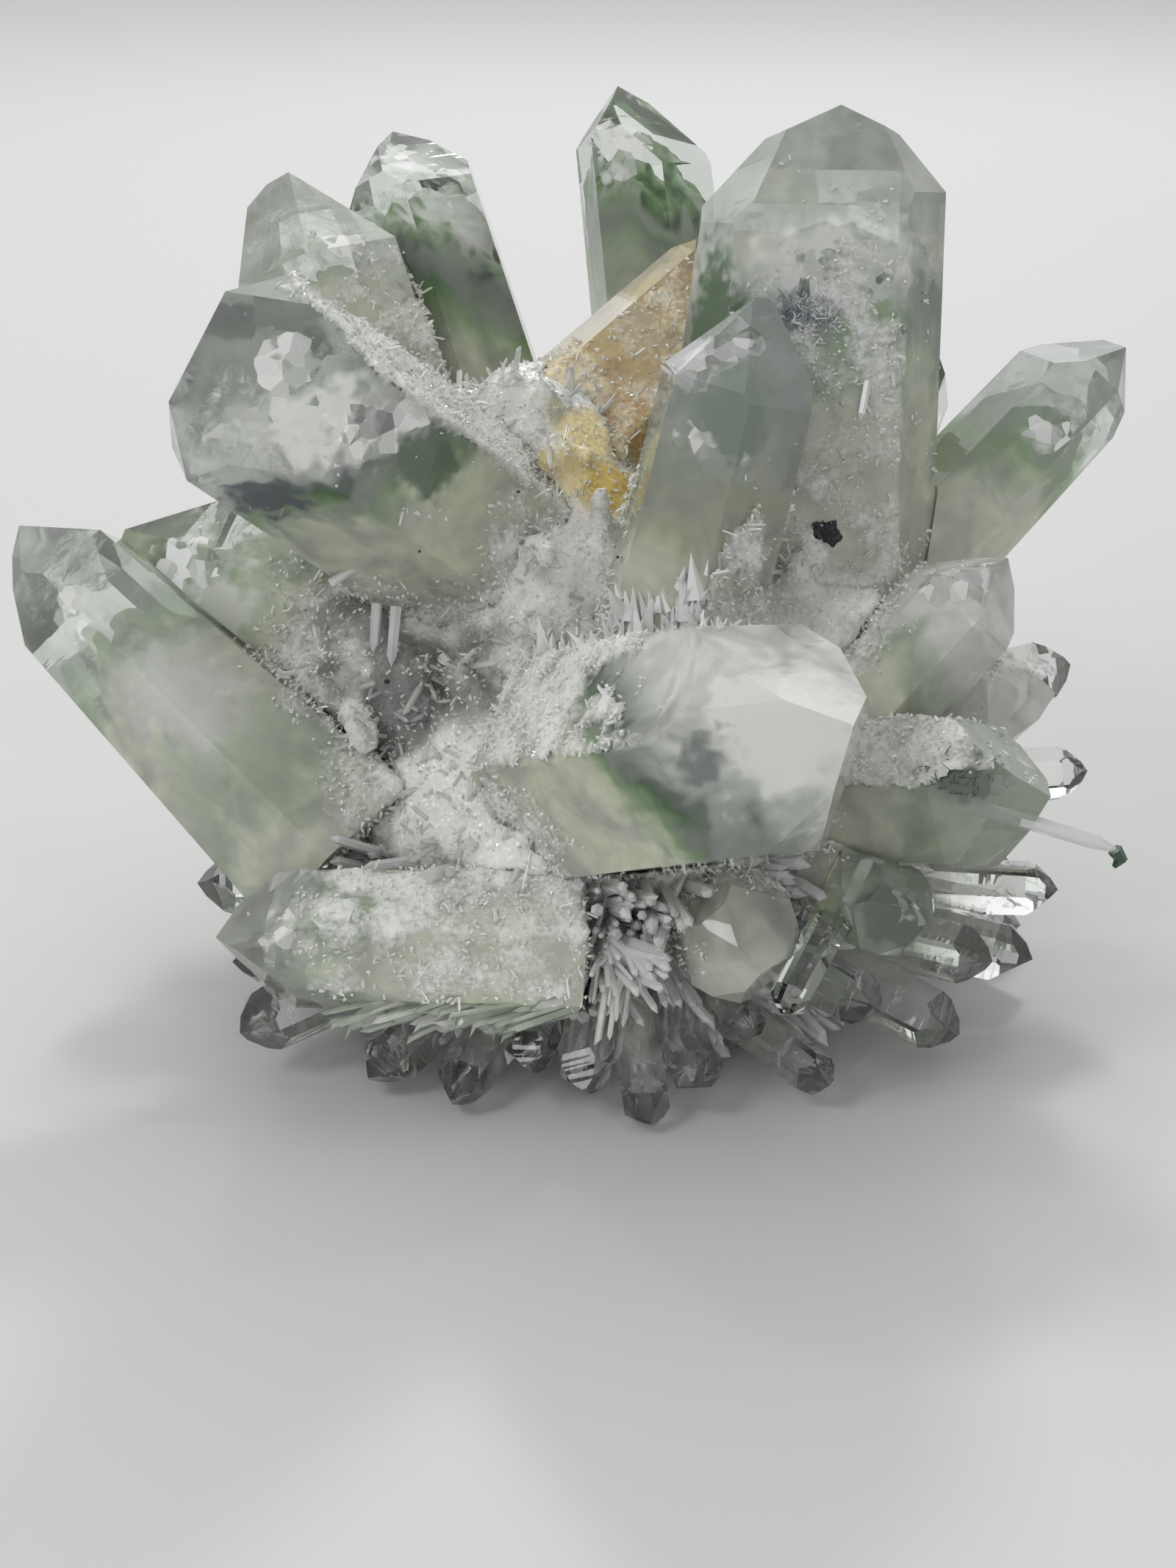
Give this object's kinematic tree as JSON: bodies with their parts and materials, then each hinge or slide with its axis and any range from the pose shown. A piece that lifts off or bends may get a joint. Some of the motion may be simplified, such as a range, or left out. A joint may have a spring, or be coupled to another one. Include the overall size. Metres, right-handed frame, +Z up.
{
  "type": "quartz crystal cluster",
  "caption": "Hand-sized cluster of clear quartz points with pale green phantoms, radiating from a matrix crusted with small crystals, cut flat underneath to rest.",
  "frame": {"origin": "centre of the flat face underneath, where the cluster was broken off its rock and on which it rests", "axes": "+Z up; -Y towards the side shown in the picture, where the near point leans out; +X to the right of that view"},
  "size_m": [0.1178, 0.109, 0.092],
  "materials": {
    "phantom_quartz": "glossy natural faces over milky green phantoms",
    "clear_quartz": "glossy natural faces, clear with faint veils",
    "amber_quartz": "glossy natural faces, iron-stained yellow",
    "druse": "sugary crust of minute clear and white points"
  },
  "bodies": {
    "root": {"tall_point": "phantom_quartz", "front_point": "phantom_quartz", "big_left_point": "phantom_quartz", "far_left_point": "phantom_quartz", "hidden_left_point": "phantom_quartz", "upper_left_point": "phantom_quartz", "back_left_point": "phantom_quartz", "clear_point": "clear_quartz", "amber_point": "amber_quartz", "forward_point": "phantom_quartz", "low_left_point": "phantom_quartz", "right_point": "phantom_quartz", "right_mid_point": "phantom_quartz", "right_block": "phantom_quartz", "sugar_point": "phantom_quartz", "pale_block": "phantom_quartz", "pale_bar": "clear_quartz", "dark_point": "phantom_quartz", "rear_tall_point": "phantom_quartz", "rear_mid_point": "phantom_quartz", "rear_left_point": "phantom_quartz", "rear_low_point": "clear_quartz", "left_low_point": "clear_quartz", "foot_point_1": "clear_quartz", "foot_point_2": "clear_quartz", "foot_point_3": "clear_quartz", "foot_point_4": "clear_quartz", "foot_point_5": "clear_quartz", "foot_point_6": "clear_quartz", "foot_point_7": "clear_quartz", "foot_point_8": "clear_quartz", "foot_point_9": "clear_quartz", "foot_point_10": "clear_quartz", "foot_point_11": "clear_quartz", "foot_point_12": "clear_quartz", "foot_point_13": "clear_quartz", "foot_point_14": "clear_quartz", "foot_point_15": "clear_quartz", "foot_point_16": "clear_quartz", "foot_point_17": "clear_quartz", "foot_point_18": "clear_quartz", "foot_point_19": "clear_quartz", "foot_point_20": "clear_quartz", "foot_point_21": "clear_quartz", "foot_point_22": "clear_quartz", "foot_point_23": "clear_quartz", "foot_point_24": "clear_quartz", "foot_point_25": "clear_quartz", "foot_point_26": "clear_quartz", "foot_point_27": "clear_quartz", "foot_point_28": "clear_quartz", "foot_point_29": "clear_quartz", "foot_point_30": "clear_quartz", "foot_point_31": "clear_quartz", "matrix": "druse"}
  },
  "joints": []
}
